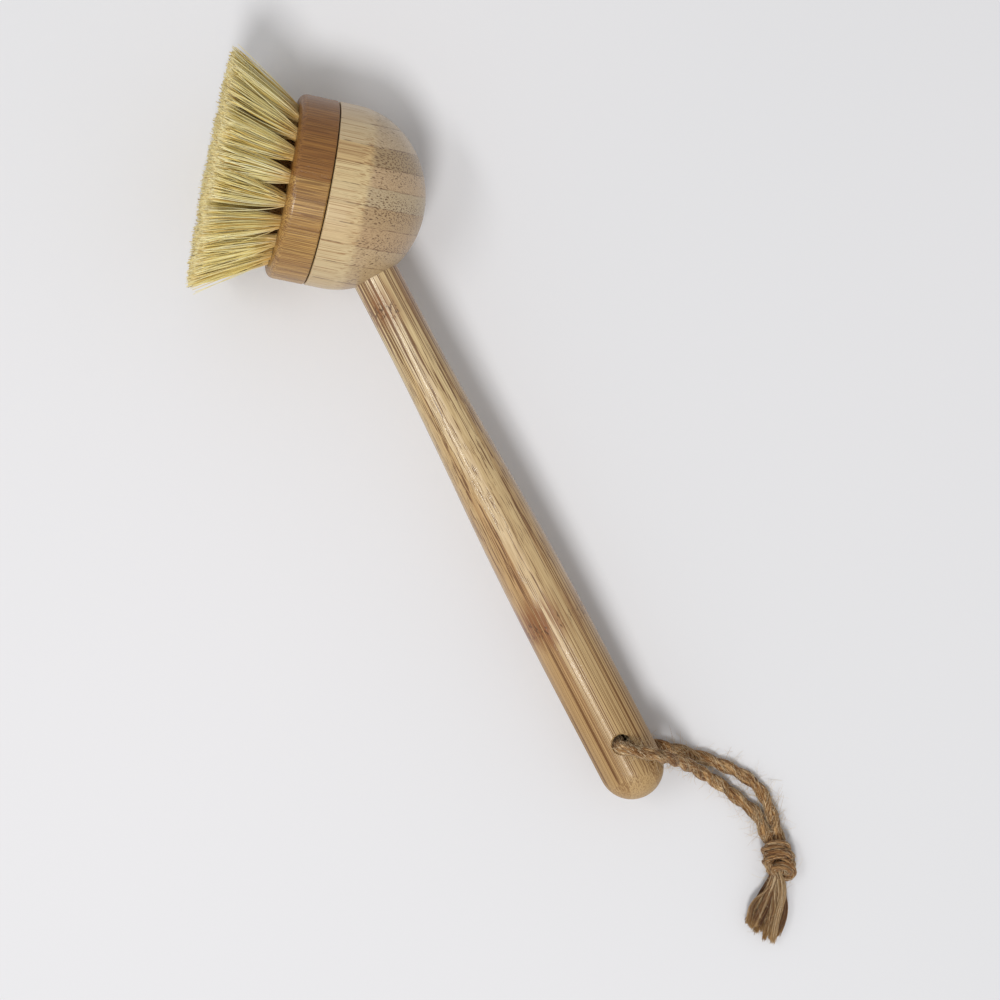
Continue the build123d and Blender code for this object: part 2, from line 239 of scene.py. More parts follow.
class Nodes:
    """Short ways to build a material's nodes."""

    def __init__(self, name, roughness=0.5, specular=0.5, coat=0.0, coat_roughness=0.2, sheen=0.0):
        self.material = bpy.data.materials.new(name)
        self.material.use_nodes = True
        self.tree = self.material.node_tree
        self.shader = self.tree.nodes["Principled BSDF"]
        self.shader.inputs["Roughness"].default_value = roughness
        self.shader.inputs["Specular IOR Level"].default_value = specular
        self.shader.inputs["Coat Weight"].default_value = coat
        self.shader.inputs["Coat Roughness"].default_value = coat_roughness
        self.shader.inputs["Sheen Weight"].default_value = sheen

    def add(self, kind, inputs=(), output=0, **settings):
        """Adds a node and gives one of its outputs. An input is a value or another's output."""
        node = self.tree.nodes.new(kind)
        for name, value in settings.items():
            setattr(node, name, value)
        for name, value in dict(inputs).items():
            if isinstance(value, bpy.types.NodeSocket):
                self.tree.links.new(value, node.inputs[name])
            else:
                node.inputs[name].default_value = value
        return node.outputs[output]

    def math(self, operation, first, second=0.0):
        """One step of arithmetic on two values."""
        return self.add("ShaderNodeMath", {0: first, 1: second}, operation=operation)

    def stretch(self, value, low, high, new_low=0.0, new_high=1.0):
        """Maps a value from one range to another, clamped."""
        inputs = {
            "Value": value,
            "From Min": low,
            "From Max": high,
            "To Min": new_low,
            "To Max": new_high,
        }
        return self.add("ShaderNodeMapRange", inputs, clamp=True)

    def mix(self, share, first, second):
        """Mixes a share of the second colour into the first."""
        inputs = {0: share, 6: first, 7: second}
        return self.add("ShaderNodeMix", inputs, output=2, data_type="RGBA")

    def ramp(self, value, stops, interpolation="LINEAR"):
        """A colour ramp through stops of (position, colour)."""
        node = self.tree.nodes.new("ShaderNodeValToRGB")
        ramp = node.color_ramp
        ramp.interpolation = interpolation
        while len(ramp.elements) > 1:
            ramp.elements.remove(ramp.elements[-1])
        ramp.elements[0].position, ramp.elements[0].color = stops[0]
        for position, colour in stops[1:]:
            ramp.elements.new(position).color = colour
        self.tree.links.new(value, node.inputs[0])
        return node.outputs[0]

    def local_mm(self, origin, along, across, upwards):
        """Coordinates in millimetres along three directions of the part."""
        turn = Matrix((along, across, upwards))
        place = self.add("ShaderNodeTexCoord", output="Object")
        inputs = {
            "Vector": self.scaled(place, (1 / MM,) * 3),
            "Rotation": turn.to_euler(),
            "Location": tuple(-(turn @ origin) / MM),
        }
        return self.add("ShaderNodeMapping", inputs)

    def scaled(self, vector, factors):
        """A vector times three factors."""
        return self.add("ShaderNodeVectorMath", {0: vector, 1: factors}, operation="MULTIPLY")

    def noise(self, vector, scale, detail=2.0, roughness=0.5):
        """Noise of three frequencies per millimetre."""
        inputs = {
            "Vector": self.scaled(vector, scale),
            "Scale": 1.0,
            "Detail": detail,
            "Roughness": roughness,
        }
        return self.add("ShaderNodeTexNoise", inputs)

    def bundles(self, place, per_mm, radius):
        """Bundles along the grain: dots of a radius in millimetres on an end, lines on a side."""
        bend = self.math("MULTIPLY", self.noise(place, (0.035, 0.3, 0.3), 1.0), BUNDLE_BEND)
        _, across, upwards = self.split(place)
        inputs = {"X": self.math("ADD", across, bend), "Y": self.math("SUBTRACT", upwards, bend)}
        flat = self.add("ShaderNodeCombineXYZ", inputs)
        inputs = {"Vector": flat, "Scale": per_mm, "Randomness": 1.0}
        cells = self.add("ShaderNodeTexVoronoi", inputs, voronoi_dimensions="2D")
        return self.stretch(cells, radius * per_mm, radius * per_mm * BUNDLE_CORE)

    def grain_lines(self, place, more, rows):
        """Thin dark lines along the grain, from rows of (frequencies, threshold, strength)."""
        lines = None
        for frequencies, threshold, strength in rows:
            field = self.math("ADD", self.noise(place, frequencies, 1.0), more)
            row = self.stretch(field, threshold, threshold + LINE_EDGE, 0.0, strength)
            lines = row if lines is None else self.math("MAXIMUM", lines, row)
        return lines

    def attribute(self, name, output="Fac"):
        """A value kept at the mesh's points."""
        return self.add("ShaderNodeAttribute", output=output, attribute_name=name)

    def split(self, vector):
        """The three parts of a vector."""
        node = self.tree.nodes.new("ShaderNodeSeparateXYZ")
        self.tree.links.new(vector, node.inputs[0])
        return tuple(node.outputs)

    def near(self, value, middle, width, edge):
        """1 where a value is within a width of the middle, falling to 0 over the edge."""
        apart = self.math("ABSOLUTE", self.math("SUBTRACT", value, middle))
        return self.stretch(apart, width + edge, width)

    def strips(self, value, half, stops, interpolation="CONSTANT"):
        """A colour ramp across a width of millimetres, through stops of (edge, colour)."""
        share = self.stretch(value, -half, half)
        places = [((edge + half) / (2 * half), colour) for edge, colour in stops]
        return self.ramp(share, places, interpolation)

    def finish(
        self, colour, roughness=None, height=None, bump_strength=0.3, bump_distance=0.05 * MM
    ):
        """Joins colour, roughness and bump to the shader and gives the material."""
        self.tree.links.new(colour, self.shader.inputs["Base Color"])
        if roughness is not None:
            self.tree.links.new(roughness, self.shader.inputs["Roughness"])
        if height is not None:
            inputs = {"Height": height, "Strength": bump_strength, "Distance": bump_distance}
            bump = self.add("ShaderNodeBump", inputs)
            self.tree.links.new(bump, self.shader.inputs["Normal"])
            self.tree.links.new(bump, self.shader.inputs["Coat Normal"])
        return self.material


# Strips of the laminated dome: the near edge of each in millimetres across the grain, the colour of
# its side and of its end, and how many dark bundles show at its near and its far edge
DOME_STRIPS = (
    (-25.5, (206, 184, 148), (190, 168, 134), 0.10, 0.15),
    (-20.4, (210, 189, 150), (192, 170, 138), 0.05, 0.20),
    (-15.0, (212, 182, 130), (170, 146, 110), 0.85, 1.00),
    (-9.9, (220, 197, 148), (192, 164, 128), 0.60, 0.12),
    (-4.5, (216, 194, 148), (188, 168, 134), 0.12, 0.80),
    (0.5, (214, 189, 142), (180, 152, 114), 0.80, 0.20),
    (5.8, (214, 188, 142), (186, 156, 118), 0.20, 0.75),
    (11.3, (212, 190, 146), (192, 166, 128), 0.30, 0.25),
    (16.6, (208, 186, 142), (188, 162, 122), 0.15, 0.35),
    (22.0, (204, 180, 136), (184, 156, 118), 0.30, 0.30),
)

# The strips are turned about the head's axis by GRAIN_TURN, and their ramp reaches HEAD_HALF
# millimetres to either side. END_GRAIN is where side grain gives way to end grain, in millimetres
# along the axis from the seam.
GRAIN_TURN = math.radians(12)
GRAIN_SIDE = SIDE * math.cos(GRAIN_TURN) - FLAT * math.sin(GRAIN_TURN)
GRAIN_FLAT = HEAD.cross(GRAIN_SIDE)
HEAD_HALF = 26.0
END_GRAIN = (-7.6, -9.4)

# Rows of thin dark lines along the grain: frequencies per millimetre along it and in both
# directions across it, the noise above which a line shows, and its strength
DOME_LINES = (
    ((0.014, 2.0, 2.0), 0.66, 0.65),
    ((0.02, 3.4, 3.4), 0.65, 0.6),
)
HANDLE_LINES = (
    ((0.004, 1.7, 1.7), 0.725, 0.9),
    ((0.005, 2.7, 2.7), 0.675, 0.85),
    ((0.008, 4.2, 4.2), 0.66, 0.8),
)
DISC_LINES = (
    ((0.04, 2.4, 2.4), 0.62, 0.6),
    ((0.06, 4.4, 4.4), 0.6, 0.6),
)


def bamboo_dome():
    """Pale laminated bamboo with its grain along the head's axis and end grain towards its pole."""
    nodes = Nodes("bamboo_dome", specular=0.35, coat=0.5, coat_roughness=0.2)
    place = nodes.local_mm(SEAM, HEAD, GRAIN_SIDE, GRAIN_FLAT)
    along, side, _ = nodes.split(place)
    bend = nodes.math("MULTIPLY", nodes.noise(place, (0.05, 0.05, 0.05)), 0.5)
    strip = nodes.math("ADD", side, bend)
    ragged = nodes.math("MULTIPLY", nodes.noise(place, (0, 1.6, 1.6), 2.0), 2.6)
    ending = nodes.stretch(nodes.math("ADD", along, ragged), *END_GRAIN)
    edges = [row[0] for row in DOME_STRIPS]
    sides = nodes.strips(strip, HEAD_HALF, [(row[0], srgb(*row[1])) for row in DOME_STRIPS])
    ends = nodes.strips(strip, HEAD_HALF, [(row[0], srgb(*row[2])) for row in DOME_STRIPS])
    amounts = []
    for (edge, _, _, near, far), after in zip(DOME_STRIPS, edges[1:] + [HEAD_HALF]):
        amounts += [(edge, (near, near, near, 1)), (after - 0.05, (far, far, far, 1))]
    amount = nodes.strips(strip, HEAD_HALF, amounts, "LINEAR")

    fine = nodes.noise(place, (0.05, 3.4, 3.4), 3.0, 0.65)
    colour = nodes.mix(ending, sides, ends)
    paler = nodes.stretch(ending, 0.0, 1.0, 0.5, 0.25)
    tone = nodes.math("MULTIPLY", nodes.stretch(fine, 0.38, 0.66), paler)
    colour = nodes.mix(tone, colour, srgb(172, 138, 92))
    thin = nodes.grain_lines(place, nodes.math("MULTIPLY", amount, 0.06), DOME_LINES)
    thin = nodes.math("MULTIPLY", thin, nodes.stretch(ending, 0.0, 1.0, 1.0, 0.05))
    colour = nodes.mix(thin, colour, srgb(148, 100, 56))
    shown = nodes.stretch(nodes.noise(place, (0.6, 0.9, 0.9), 1.0), 0.72, 0.28)
    shown = nodes.math("LESS_THAN", shown, nodes.math("ADD", amount, 0.05))
    dots = nodes.math("MULTIPLY", nodes.bundles(place, 1.9, 0.17), shown)
    dots = nodes.math("MULTIPLY", dots, nodes.stretch(ending, 0.0, 1.0, 0.15, 0.9))
    colour = nodes.mix(dots, colour, srgb(98, 72, 46))
    faint = nodes.bundles(place, 2.5, 0.14)
    faint = nodes.math("MULTIPLY", faint, nodes.stretch(ending, 0.0, 1.0, 0.1, 0.45))
    colour = nodes.mix(faint, colour, srgb(130, 98, 64))
    seams = None
    for edge in edges[1:]:
        line = nodes.near(strip, edge, 0.05, 0.16)
        seams = line if seams is None else nodes.math("MAXIMUM", seams, line)
    broken = nodes.stretch(nodes.noise(place, (0.35, 0.8, 0.8), 1.0), 0.42, 0.58, 0.15, 0.75)
    colour = nodes.mix(nodes.math("MULTIPLY", seams, broken), colour, srgb(108, 76, 48))
    roughness = nodes.stretch(fine, 0.2, 0.8, 0.4, 0.6)
    height = nodes.math("SUBTRACT", fine, dots)
    return nodes.finish(colour, roughness, height, 0.25)


# Strips of the handle: the near edge of each in millimetres across it, its colour at the neck and
# at the grip, and how many dark lines it shows. Their ramp reaches HANDLE_HALF to either side. The
# strip from -4.7 is a painted highlight, lighter than the wood, and the strip from 3.0 is darker
# partly from its own brown wood and partly as painted shade on the side turned away from the lamps.
HANDLE_STRIPS = (
    (-9.5, (220, 196, 142), (198, 161, 110), 0.5),
    (-6.6, (222, 196, 144), (196, 157, 108), 0.8),
    # Painted highlight: this strip is lighter than its wood, standing for the lamp's streak along the handle, and
    # shows fewer lines
    (-4.7, (240, 219, 178), (222, 194, 149), 0.35),
    (-1.0, (220, 196, 147), (208, 180, 132), 0.3),
    # Partly painted shade: a brown strip of its own, made darker and wider because this side of the handle is
    # turned away from the lamps
    (3.0, (184, 154, 106), (190, 157, 109), 0.9),
    (5.6, (196, 164, 116), (195, 163, 116), 0.6),
)
HANDLE_HALF = 9.5

# Nodes of the bamboo: how far along the handle from its grip in millimetres, and how strong
HANDLE_NODES = ((-116.0, 0.75), (-20.5, 1.0))

# Stretches along the handle in the same measure: where the neck's colours turn into the grip's, its
# end, the part that is held, the neck's closer lines, the rounded tip, and where the varnish wears
NECK_TO_GRIP = (-105.0, -40.0)
HANDLE_END = (-5.0, 24.0)
HELD_PART = (-30.0, 8.0)
CLOSER_LINES = (-92.0, -110.0)
ROUND_TIP = (25.0, 31.0)
VARNISH_WEAR = (-25.0, 5.0)


def bamboo_handle():
    """Honey bamboo with thin dark lines along the handle, its strips and its nodes."""
    nodes = Nodes("bamboo_handle", specular=0.25, coat_roughness=0.12)
    place = nodes.local_mm(GRIP, HANDLE, HANDLE_ACROSS, HANDLE_UP)
    along, across, _ = nodes.split(place)
    bend = nodes.math("MULTIPLY", nodes.noise(place, (0.012, 0.1, 0.1), 1.0), 1.6)
    strip = nodes.math("ADD", nodes.math("SUBTRACT", across, 0.8), bend)
    # The strips' colours hold a painted highlight and painted shade along the handle, as well as the wood's own
    # strips
    neck = nodes.strips(strip, HANDLE_HALF, [(row[0], srgb(*row[1])) for row in HANDLE_STRIPS])
    grip = nodes.strips(strip, HANDLE_HALF, [(row[0], srgb(*row[2])) for row in HANDLE_STRIPS])
    base = nodes.mix(nodes.stretch(along, *NECK_TO_GRIP), neck, grip)
    base = nodes.mix(nodes.stretch(along, *HANDLE_END, 0.0, 0.7), base, srgb(198, 166, 118))
    amounts = [(edge, (lines, lines, lines, 1)) for edge, _, _, lines in HANDLE_STRIPS]
    amount = nodes.strips(strip, HANDLE_HALF, amounts)
    fine = nodes.noise(place, (0.03, 3.6, 3.6), 3.0, 0.65)
    colour = nodes.mix(nodes.stretch(fine, 0.36, 0.66, 0.0, 0.55), base, srgb(156, 120, 72))
    bands = nodes.stretch(nodes.noise(place, (0.016, 0.55, 0.55), 3.0), 0.5, 0.62)
    bands = nodes.math("MULTIPLY", bands, nodes.stretch(amount, 0.2, 0.8, 0.05, 0.4))
    held = nodes.stretch(along, *HELD_PART)
    bands = nodes.math("MULTIPLY", bands, nodes.stretch(held, 0.0, 1.0, 1.0, 0.3))
    colour = nodes.mix(bands, colour, srgb(160, 114, 64))
    colour = nodes.mix(nodes.math("MULTIPLY", held, 0.2), colour, srgb(160, 124, 74))
    closer = nodes.math("MAXIMUM", held, nodes.stretch(along, *CLOSER_LINES))
    more = nodes.math("ADD", amount, nodes.math("MULTIPLY", closer, 0.4))
    more = nodes.math("MULTIPLY", more, 0.1)
    lines = nodes.grain_lines(place, more, HANDLE_LINES)
    lines = nodes.math("MULTIPLY", lines, nodes.stretch(along, *ROUND_TIP, 1.0, 0.4))
    colour = nodes.mix(lines, colour, srgb(100, 60, 26))

    for middle, strength in HANDLE_NODES:
        ragged = nodes.math("MULTIPLY", nodes.noise(place, (0.2, 0.9, 0.9), 3.0), 7.0)
        level = nodes.math("SUBTRACT", nodes.math("ADD", along, ragged), 3.5)
        patch = nodes.stretch(nodes.noise(place, (0.04, 1.1, 1.1), 3.0), 0.4, 0.52, 0.0, 0.95)
        patch = nodes.math("MULTIPLY", nodes.near(level, middle - 1.5, 2.5, 6.0), patch)
        patch = nodes.math("MULTIPLY", patch, nodes.stretch(across, -3.0, 2.0, strength, 0.3))
        colour = nodes.mix(patch, colour, srgb(138, 88, 46))
        specks = nodes.stretch(nodes.noise(place, (0.8, 1.7, 1.7), 1.0), 0.54, 0.62, 0.0, 0.8)
        specks = nodes.math("MULTIPLY", nodes.near(level, middle, 1.4, 1.6), specks)
        crowded = nodes.stretch(nodes.noise(place, (0.0, 0.3, 0.3), 1.0), 0.4, 0.5)
        colour = nodes.mix(nodes.math("MULTIPLY", specks, crowded), colour, srgb(78, 48, 26))
    roughness = nodes.stretch(fine, 0.2, 0.8, 0.42, 0.62)
    varnish = nodes.stretch(along, *VARNISH_WEAR, 0.9, 0.12)
    nodes.tree.links.new(varnish, nodes.shader.inputs["Coat Weight"])
    height = nodes.math("SUBTRACT", fine, nodes.math("MULTIPLY", lines, 0.8))
    return nodes.finish(colour, roughness, height, 0.28)


# Where the disc's two blocks meet, in millimetres across the grain
BLOCK_SEAM = (-3.7, -3.4)


def head_wood():
    """Brown wood of the disc, two blocks side by side with fine grain along the head's axis."""
    nodes = Nodes("head_wood", specular=0.25, coat=0.5, coat_roughness=0.22)
    place = nodes.local_mm(SEAM, HEAD, GRAIN_SIDE, GRAIN_FLAT)
    _, side, _ = nodes.split(place)
    base = nodes.mix(nodes.stretch(side, *BLOCK_SEAM), srgb(154, 108, 52), srgb(194, 153, 86))
    fine = nodes.noise(place, (0.06, 3.6, 3.6), 3.0, 0.7)
    colour = nodes.mix(nodes.stretch(fine, 0.38, 0.64, 0.0, 0.7), base, srgb(124, 78, 34))
    broad = nodes.stretch(nodes.noise(place, (0.02, 0.35, 0.35), 3.0), 0.46, 0.62, 0.0, 0.4)
    colour = nodes.mix(broad, colour, srgb(124, 78, 36))
    lines = nodes.grain_lines(place, 0.03, DISC_LINES)
    colour = nodes.mix(lines, colour, srgb(90, 52, 20))
    roughness = nodes.stretch(fine, 0.2, 0.8, 0.45, 0.65)
    return nodes.finish(colour, roughness, nodes.math("SUBTRACT", fine, lines), 0.45)


def plant_fibre(name, root_shade_colour, root_shade_share):
    """Straw-coloured bristle with a few dark fibres, browner at the root as painted shade between tufts."""
    nodes = Nodes(name, roughness=0.45, specular=0.45)
    tint, share = nodes.attribute("tint"), nodes.attribute("share")
    weave = nodes.attribute("weave", "Vector")
    colour = nodes.ramp(tint, [
        (0.0, srgb(70, 46, 20)),
        (0.012, srgb(110, 76, 34)),
        (0.02, srgb(200, 158, 78)),
        (0.17, srgb(230, 203, 116)),
        (0.45, srgb(246, 230, 154)),
        (1.0, srgb(253, 246, 200)),
    ])
    mottle = nodes.noise(weave, (0.35, 0.3, 0.3), 2.0)
    colour = nodes.mix(nodes.stretch(mottle, 0.5, 0.75, 0.0, 0.35), colour, srgb(222, 184, 102))
    # Painted shade: the fibres turn brown towards the root, where the gaps between the tufts lie in shade
    root = nodes.stretch(share, 0.1 + 0.5 * root_shade_share, 0.1, 0.0, root_shade_share)
    colour = nodes.mix(root, colour, root_shade_colour)
    colour = nodes.mix(nodes.stretch(share, 0.9, 1.0, 0.0, 0.4), colour, srgb(226, 206, 158))
    return nodes.finish(colour, height=mottle, bump_strength=0.2)


def jute(name, golden):
    """Brown jute, with pale and dark fibres along each ply, and golden cut ends."""
    nodes = Nodes(name, roughness=0.8, specular=0.2, sheen=0.15)
    tint, weave = nodes.attribute("tint"), nodes.attribute("weave", "Vector")
    streak = nodes.noise(weave, (0.22, 2.6, 2.6), 3.0, 0.6)
    fine = nodes.noise(weave, (0.7, 6.5, 6.5), 2.0)
    tone = tint
    for field, strength in ((streak, 2.0), (fine, 1.2)):
        swing = nodes.math("MULTIPLY", nodes.math("SUBTRACT", field, 0.5), strength)
        tone = nodes.math("ADD", swing, tone)
    colour = nodes.ramp(tone, [
        (0.0, srgb(78, 46, 20)),
        (0.25, srgb(118, 80, 44)),
        (0.5, srgb(155, 115, 71)),
        (0.75, srgb(194, 156, 107)),
        (1.0, srgb(240, 218, 178)),
    ])
    if golden:
        gold = nodes.stretch(nodes.attribute("share"), 0.85, 1.0, 0.0, 0.5)
        colour = nodes.mix(gold, colour, srgb(180, 134, 64))
    height = nodes.math("ADD", streak, nodes.math("MULTIPLY", fine, 0.7))
    return nodes.finish(colour, height=height, bump_strength=0.8, bump_distance=0.2 * MM)


def metal(name, colour, roughness):
    """A plain turned metal."""
    nodes = Nodes(name, roughness=roughness)
    nodes.shader.inputs["Metallic"].default_value = 1.0
    place = nodes.local_mm(SEAM, HEAD, SIDE, FLAT)
    marks = nodes.noise(place, (6.0, 0.5, 0.5), 2.0)
    darker = srgb(*(value * 0.7 for value in colour))
    tone = nodes.mix(nodes.math("MULTIPLY", marks, 0.3), srgb(*colour), darker)
    return nodes.finish(tone, height=marks, bump_strength=0.15)


jute_material = jute("jute", False)
frayed_material = jute("frayed_jute", True)
# Both take painted shade at the root, the inner tufts more strongly than the outer ones
outer_fibre = plant_fibre("outer_fibre", srgb(206, 156, 84), 0.65)
inner_fibre = plant_fibre("inner_fibre", srgb(176, 118, 58), 0.95)
cad_materials = {
    "handle": bamboo_handle(),
    "dome": bamboo_dome(),
    "brush_disc": head_wood(),
    "threaded_insert": metal("brass", (214, 176, 96), 0.35),
    "head_stud": metal("steel", (190, 190, 194), 0.3),
}
cad_materials["tuft_anchors"] = cad_materials["head_stud"]
for node_name, material in cad_materials.items():
    for material_slot in frame["nodes"][node_name].material_slots:
        material_slot.material = material


# Cord pieces. A ply's radius is a share of its twine's, by the number of plies. Lengths of surface
# fibres are in millimetres. A shade is taken off a tint, which makes the jute darker.
PLY_SHARES = {2: 0.7, 3: 0.464}
PLY_SIDES = 18
PLY_RIDGES = 7
PLY_SWELL = 1.04
TWINE_RADIUS = 1.02 * CORD_DIAMETER / 2
TWINE_SHADE = 0.05
SURFACE_FIBRES = 800
SURFACE_SHADE = 0.1
SURFACE_LENGTHS = (2.5, 8.0)
GROOVE_FLOOR = 0.6
HAIRS = 900
HAIR_LENGTH = 5.0 * MM
HAIR_STEPS = 7


def ply_outline(radius, seed):
    """The ridged, lumpy outline of a ply."""
    def reach(share, angle):
        ridge = math.cos(PLY_RIDGES * angle + 60 * share + seed)
        spot = Vector((share * 19, 1.2 * math.cos(angle), 1.2 * math.sin(angle) + seed))
        return radius * (1 + 0.06 * ridge + 0.2 * noise.noise(spot))
    return reach


def add_twine(tubes, line, radius, draw, plies=2, pitch=CORD_PITCH, shade=0.0):
    """Twisted plies along a line. Gives the direction of the first at its start."""
    ply = radius * PLY_SHARES[plies]
    start_angle = draw.uniform(0, 2 * math.pi)
    for number in range(plies):
        turn = start_angle + 2 * math.pi * number / plies
        centres = []
        walked, frames = walked_lengths(line), travelling_frames(line)
        for far, centre, (_, normal, binormal) in zip(walked, line, frames):
            angle = turn + 2 * math.pi * far / pitch
            outwards = normal * math.cos(angle) + binormal * math.sin(angle)
            centres.append(centre + outwards * (radius - ply))
        outline = ply_outline(ply * PLY_SWELL, turn)
        tubes.add(centres, outline, PLY_SIDES, draw.uniform(0.3, 0.6) - shade)
    return start_angle


def twine_reach(plies, angle):
    """The share of its radius that a twine reaches in a direction, measured from a ply."""
    share = PLY_SHARES[plies]
    apart = math.remainder(angle, 2 * math.pi / plies)
    offset = 1 - share
    beside = offset * math.sin(apart)
    return offset * math.cos(apart) + math.sqrt(max(0, share ** 2 - beside ** 2))


def add_surface_fibres(
    tubes, line, radius, count, draw, start, plies=2, pitch=CORD_PITCH, shade=0.0
):
    """Single fibres that lie along the twist, a little proud of it, through every second point."""
    walked, frames = walked_lengths(line), travelling_frames(line)
    for _ in range(count):
        index = draw.randrange(len(line) - 8)
        reach_end = walked[index] + draw.uniform(*SURFACE_LENGTHS) * MM
        turn, lean = draw.uniform(0, 2 * math.pi), draw.uniform(0.6, 1.4)
        rise, wave = draw.uniform(0.96, 1.08), draw.uniform(0, 6)
        centres = []
        rings = zip(walked[index::2], line[index::2], frames[index::2])
        for far, centre, (_, normal, binormal) in rings:
            if far > reach_end:
                break
            angle = turn + lean * 2 * math.pi * (far - walked[index]) / pitch
            groove = twine_reach(plies, angle - start - 2 * math.pi * far / pitch)
            groove = max(GROOVE_FLOOR, groove)
            reach = radius * groove * (rise + 0.05 * math.sin(far / MM * 2.5 + wave))
            outwards = normal * math.cos(angle) + binormal * math.sin(angle)
            centres.append(centre + outwards * reach)
        if len(centres) > 3:
            thick = draw.uniform(0.04, 0.08) * MM
            tint = draw.uniform(0.25, 1.15) - shade
            tubes.add(centres, lambda share, angle: thick, FIBRE_SIDES, tint)


def add_fuzz(tubes, line, radius, count, draw, longest=HAIR_LENGTH):
    """Loose hairs that stand off a cord."""
    frames = travelling_frames(line)
    for _ in range(count):
        index = draw.randrange(len(line))
        tangent, normal, binormal = frames[index]
        angle = draw.uniform(0, 2 * math.pi)
        outwards = normal * math.cos(angle) + binormal * math.sin(angle)
        sideways = tangent.cross(outwards)
        length = draw.uniform(0.25, 1.0) ** 3 * longest
        heading = outwards + tangent * draw.uniform(-1.5, 1.5)
        heading += sideways * draw.uniform(-0.8, 0.8)
        heading.normalize()
        curl = (tangent * draw.uniform(-1, 1) + sideways * draw.uniform(-1, 1) - UP * 0.4) * 0.8
        root = line[index] + outwards * radius * 0.85
        centres = []
        for step in range(HAIR_STEPS + 1):
            far = length * step / HAIR_STEPS
            point = root + heading * far + curl * far * step / HAIR_STEPS
            point.z = max(point.z, 2 * FLOOR_CLEARANCE)
            centres.append(point)
        thick = draw.uniform(0.025, 0.042) * MM
        tint = draw.uniform(0.6, 1.3)
        tubes.add(centres, lambda share, angle: thick * (1 - 0.5 * share), FIBRE_SIDES, tint)


def make_cord(name, route, seed):
    """One strand of the cord and the hairs on it."""
    draw = random.Random(seed)
    line = nurbs_line(route)
    twine, hair = Tubes(), Tubes()
    start = add_twine(twine, line, TWINE_RADIUS, draw, shade=TWINE_SHADE)
    add_surface_fibres(
        hair, line, TWINE_RADIUS, SURFACE_FIBRES, draw, start, shade=SURFACE_SHADE
    )
    add_fuzz(hair, line, TWINE_RADIUS, HAIRS, draw)
    cord = twine.build(f"{name}_twine", jute_material)
    fuzz = hair.build(f"{name}_fuzz", jute_material)
    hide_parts(name)
    for piece in (cord, fuzz):
        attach(piece, "root")
    return cord, fuzz, line


cord_over, over_fuzz, over_line = make_cord("cord_over", OVER_ROUTE, 11)
cord_under, under_fuzz, under_line = make_cord("cord_under", UNDER_ROUTE, 12)

# Knot: places are along it, to its left and above its middle, in millimetres from its entrance.
# Five runs of strand, with their radii, wrap over and round it, and three more fill its middle.
KNOT_PLACE = Vector((0.1437, 0.0371, 0.0041))
KNOT_HEADING = math.radians(-23.6)
KNOT_LENGTH = 11.8 * MM
KNOT_ALONG = Vector((math.cos(KNOT_HEADING), math.sin(KNOT_HEADING), 0))
KNOT_LEFT = UP.cross(KNOT_ALONG)
KNOT_STRANDS = (
    ((6.0, -0.6, -2.4), (4.6, -2.4, -1.6), (3.0, -3.3, 0.4), (1.7, -1.6, 2.9), (1.3, 1.0, 3.2),
     (1.9, 3.4, 1.9), (3.4, 4.3, -0.4), (5.4, 3.2, -2.6), (7.2, 0.6, -2.7), (8.2, -1.6, -2.4)),
    ((8.6, 0.4, -2.2), (7.2, -1.6, -2.2), (6.3, -3.0, 0.2), (4.6, -2.2, 2.6), (3.7, 0.4, 3.5),
     (3.9, 3.0, 2.9), (5.2, 4.9, 0.8), (7.2, 4.9, -1.4), (8.6, 3.0, -2.4), (9.2, 0.2, -2.4)),
    ((3.6, -2.6, 0.4), (5.2, -2.9, 1.6), (7.4, -2.6, 1.9), (9.4, -1.0, 1.6), (10.6, 0.2, 0.2)),
    ((9.4, -1.8, 0.2), (7.9, -0.6, 2.0), (7.5, 1.6, 2.7), (8.1, 3.8, 2.3), (9.4, 5.2, 0.9),
     (10.8, 4.9, -0.3), (11.2, 3.1, -0.3), (10.6, 1.2, -0.6)),
    ((6.2, 2.2, 1.2), (6.6, 4.2, 2.4), (7.9, 5.6, 1.3), (9.4, 4.6, -0.4), (10.2, 2.4, -0.8)),
)
KNOT_RADII = (1.25, 1.5, 1.1, 1.35, 1.2)
KNOT_WIDTH = 0.86
KNOT_PLIES = 3
KNOT_PITCH = 22 * MM
KNOT_SHADE = 0.04
KNOT_SURFACE_FIBRES = 120
KNOT_SURFACE_SHADE = 0.08
KNOT_HAIRS = 45
KNOT_HAIR_LENGTH = 4.0 * MM

# The runs inside the knot: how far left and above its middle, and their radius in millimetres
INNER_RUNS = ((-1.3, 0.0), (1.3, 0.0), (0.0, -1.8))
INNER_RADIUS = 1.5


def knot_point(along, left, height):
    """A point by its place in the knot."""
    return KNOT_PLACE + (KNOT_ALONG * along + KNOT_LEFT * left * KNOT_WIDTH + UP * height) * MM


def make_knot():
    """An overhand knot in the doubled cord."""
    draw = random.Random(21)
    twine, hair = Tubes(), Tubes()
    for places, radius in zip(KNOT_STRANDS, KNOT_RADII):
        line = nurbs_line([knot_point(*place) for place in places])
        start = add_twine(twine, line, radius * MM, draw, KNOT_PLIES, KNOT_PITCH, KNOT_SHADE)
        add_surface_fibres(
            hair, line, radius * MM, KNOT_SURFACE_FIBRES, draw, start,
            KNOT_PLIES, KNOT_PITCH, KNOT_SURFACE_SHADE,
        )
        add_fuzz(hair, line, radius * MM, KNOT_HAIRS, draw, KNOT_HAIR_LENGTH)
    for left, height in INNER_RUNS:
        places = [(0.8, left), (2.0, left), (6.0, left * 1.1), (10.0, left)]
        line = nurbs_line([knot_point(along, aside, height) for along, aside in places])
        add_twine(twine, line, INNER_RADIUS * MM, draw, KNOT_PLIES, KNOT_PITCH)
    return twine.build("knot_twine", jute_material), hair.build("knot_fuzz", jute_material)


